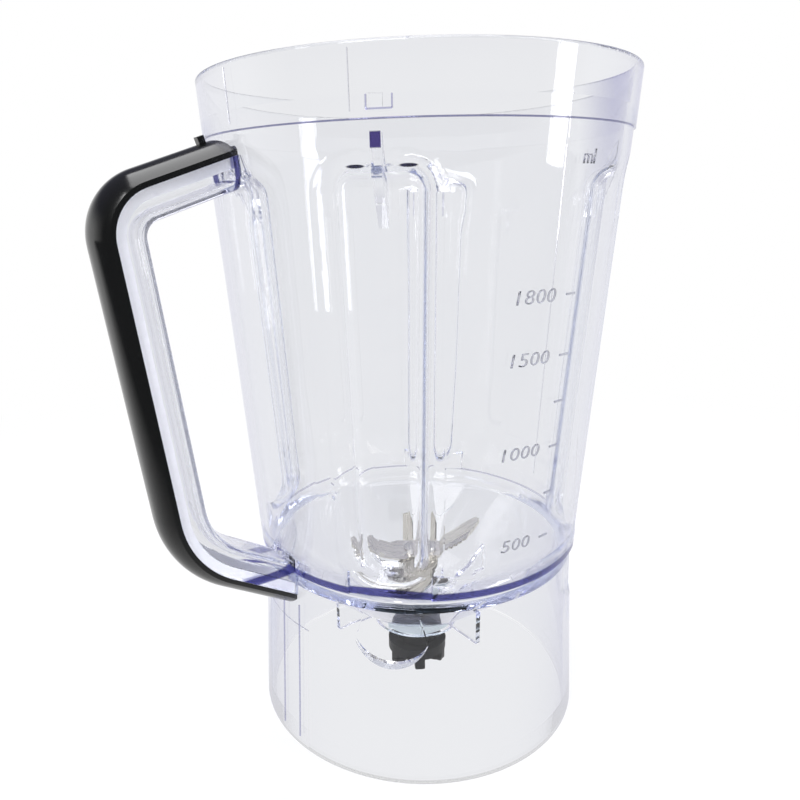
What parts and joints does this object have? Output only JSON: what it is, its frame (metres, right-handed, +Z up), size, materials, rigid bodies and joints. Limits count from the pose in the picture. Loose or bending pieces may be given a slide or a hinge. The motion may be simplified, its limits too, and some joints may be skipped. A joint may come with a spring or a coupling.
{
  "type": "blender jar",
  "caption": "Clear conical blender jar with fluted wall, moulded handle under a black grip cover, base skirt and a spinning blade unit on the floor.",
  "frame": {"origin": "on the jar's axis, in the plane of the skirt's foot", "axes": "+Z up along the jar's axis, -X towards the handle, -Y towards the measuring scale"},
  "size_m": [0.2082, 0.1636, 0.26],
  "materials": {
    "clear_plastic": "polished clear moulding",
    "black_plastic": "glossy moulded",
    "blade_steel": "ground stainless",
    "shaft_steel": "ground",
    "housing_metal": "bright turned",
    "zinc_steel": "zinc plated",
    "bush_bronze": "sintered",
    "seal_rubber": "moulded",
    "gasket_rubber": "moulded silicone",
    "washer_nylon": "moulded",
    "coupling_plastic": "moulded"
  },
  "bodies": {
    "jar": {"jar_body": "clear_plastic", "grip_cover": "black_plastic", "bearing_housing": "housing_metal", "housing_gasket": "gasket_rubber", "clamp_washer": "zinc_steel", "clamp_nut": "zinc_steel", "upper_bush": "bush_bronze", "lower_bush": "bush_bronze", "shaft_seal": "seal_rubber"},
    "rotor": {"drive_shaft": "shaft_steel", "upper_thrust_washer": "washer_nylon", "lower_thrust_washer": "washer_nylon", "retaining_clip": "shaft_steel", "blade_spacer": "shaft_steel", "lower_blade": "blade_steel", "upper_blade": "blade_steel", "top_washer": "shaft_steel", "drive_coupling": "coupling_plastic", "coupling_insert": "shaft_steel"}
  },
  "joints": [
    {"name": "blade_spin", "type": "hinge", "parent": "jar", "child": "rotor", "pos_m": [0, 0, 0.04], "axis": [0, 0, 1], "continuous": true}
  ]
}
